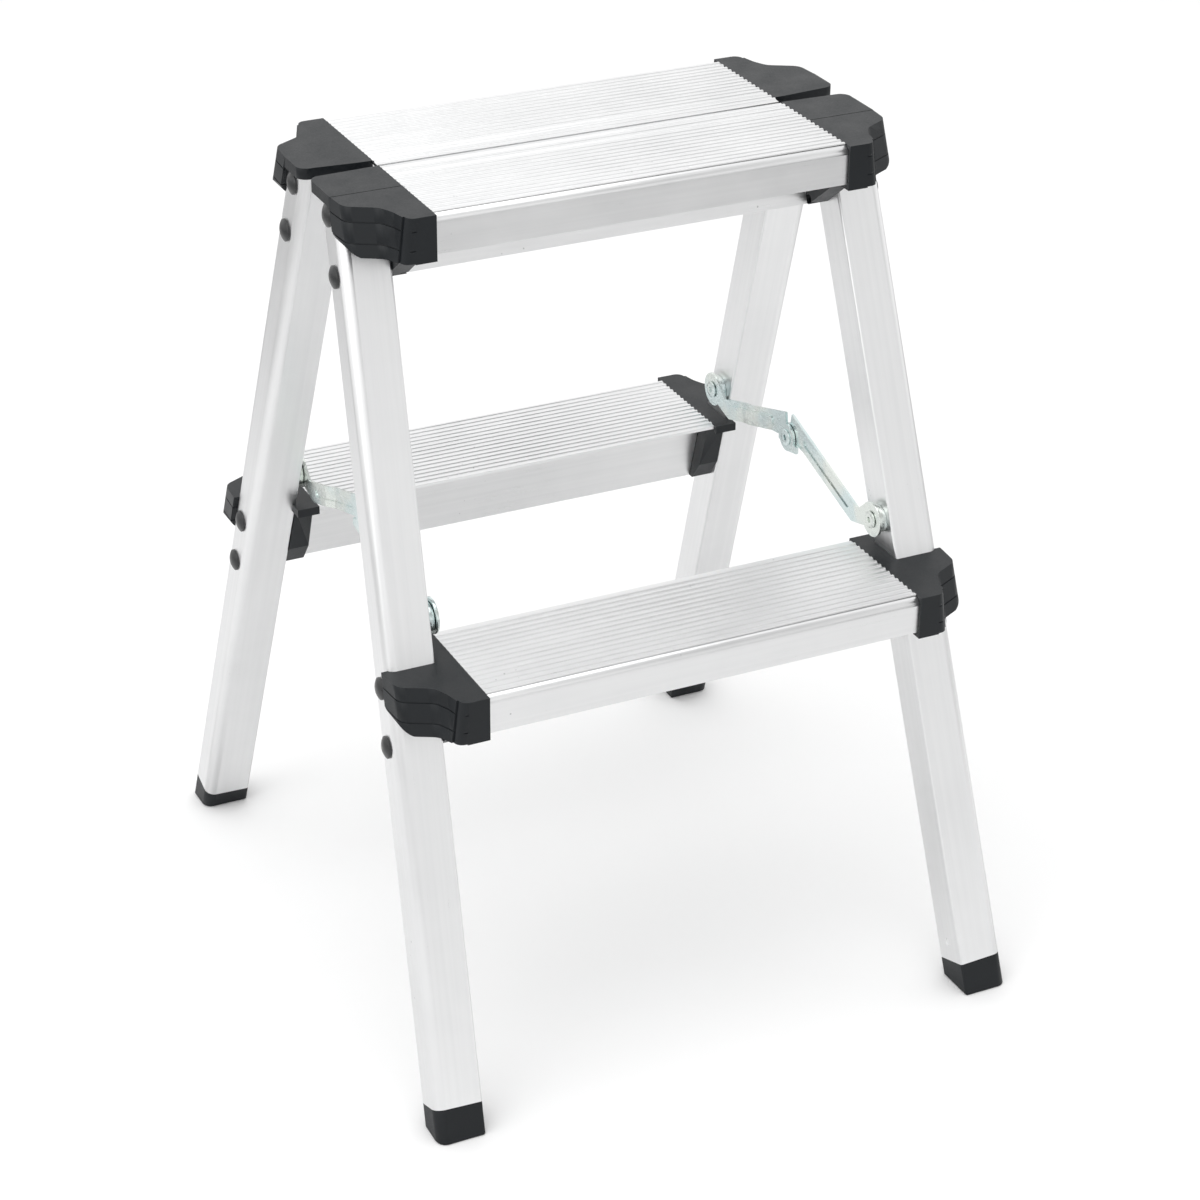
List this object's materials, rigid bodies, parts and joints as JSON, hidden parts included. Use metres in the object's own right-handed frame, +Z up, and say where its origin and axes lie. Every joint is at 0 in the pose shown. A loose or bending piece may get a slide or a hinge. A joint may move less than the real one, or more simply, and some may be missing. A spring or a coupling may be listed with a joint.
{
  "type": "step stool",
  "caption": "Folding aluminium step stool with steps on both sides, a split ribbed platform, black plastic end caps and feet, and jointed side braces.",
  "frame": {"origin": "on the floor under the middle of the platform, with the stool open", "axes": "+X to the right of a person facing the front step, -Y towards the front step, +Z up"},
  "size_m": [0.3338, 0.3758, 0.45],
  "materials": {
    "aluminium": "satin extruded",
    "black_plastic": "fine moulded texture",
    "foot_plastic": "smooth moulded",
    "rivet_black": "black domed heads",
    "zinc_steel": "bright zinc plate"
  },
  "bodies": {
    "front_frame": {"front_platform_half": "aluminium", "front_lower_step": "aluminium", "front_right_leg": "aluminium", "front_right_top_cap": "black_plastic", "front_right_lower_cap": "black_plastic", "front_right_foot": "foot_plastic", "front_right_leg_rivets": "rivet_black", "front_right_arm_rivet": "zinc_steel", "front_right_arm_spacer": "zinc_steel", "front_left_leg": "aluminium", "front_left_top_cap": "black_plastic", "front_left_lower_cap": "black_plastic", "front_left_foot": "foot_plastic", "front_left_leg_rivets": "rivet_black", "front_left_arm_rivet": "zinc_steel", "front_left_arm_spacer": "zinc_steel", "right_hinge_pin": "zinc_steel", "left_hinge_pin": "zinc_steel"},
    "rear_frame": {"rear_platform_half": "aluminium", "rear_lower_step": "aluminium", "rear_right_leg": "aluminium", "rear_right_top_cap": "black_plastic", "rear_right_lower_cap": "black_plastic", "rear_right_foot": "foot_plastic", "rear_right_leg_rivets": "rivet_black", "rear_right_arm_rivet": "zinc_steel", "rear_right_arm_spacer": "zinc_steel", "rear_left_leg": "aluminium", "rear_left_top_cap": "black_plastic", "rear_left_lower_cap": "black_plastic", "rear_left_foot": "foot_plastic", "rear_left_leg_rivets": "rivet_black", "rear_left_arm_rivet": "zinc_steel", "rear_left_arm_spacer": "zinc_steel"},
    "right_front_arm": {"right_front_arm": "zinc_steel", "right_middle_rivet_tail": "zinc_steel"},
    "left_front_arm": {"left_front_arm": "zinc_steel", "left_middle_rivet_tail": "zinc_steel"},
    "right_rear_arm": {"right_rear_arm": "zinc_steel", "right_middle_rivet_head": "zinc_steel"},
    "left_rear_arm": {"left_rear_arm": "zinc_steel", "left_middle_rivet_head": "zinc_steel"}
  },
  "joints": [
    {"name": "platform_hinge", "type": "hinge", "parent": "front_frame", "child": "rear_frame", "pos_m": [0, 0, 0.417], "axis": [-1, 0, 0], "range_deg": [0, 38]},
    {"name": "right_front_arm_pivot", "type": "hinge", "parent": "front_frame", "child": "right_front_arm", "pos_m": [0.1255, -0.0904, 0.247], "axis": [1, 0, 0], "range_deg": [0, 46.2]},
    {"name": "right_rear_arm_pivot", "type": "hinge", "parent": "rear_frame", "child": "right_rear_arm", "pos_m": [0.1255, 0.0904, 0.247], "axis": [-1, 0, 0], "range_deg": [0, 46.2]},
    {"name": "left_front_arm_pivot", "type": "hinge", "parent": "front_frame", "child": "left_front_arm", "pos_m": [-0.1255, -0.0904, 0.247], "axis": [1, 0, 0], "range_deg": [0, 46.2]},
    {"name": "left_rear_arm_pivot", "type": "hinge", "parent": "rear_frame", "child": "left_rear_arm", "pos_m": [-0.1255, 0.0904, 0.247], "axis": [-1, 0, 0], "range_deg": [0, 46.2]}
  ],
  "couplings": [
    {"joint": "right_front_arm_pivot", "follows": "platform_hinge", "ratio": 1.2091},
    {"joint": "right_rear_arm_pivot", "follows": "platform_hinge", "ratio": 1.2091},
    {"joint": "left_front_arm_pivot", "follows": "platform_hinge", "ratio": 1.2091},
    {"joint": "left_rear_arm_pivot", "follows": "platform_hinge", "ratio": 1.2091}
  ]
}
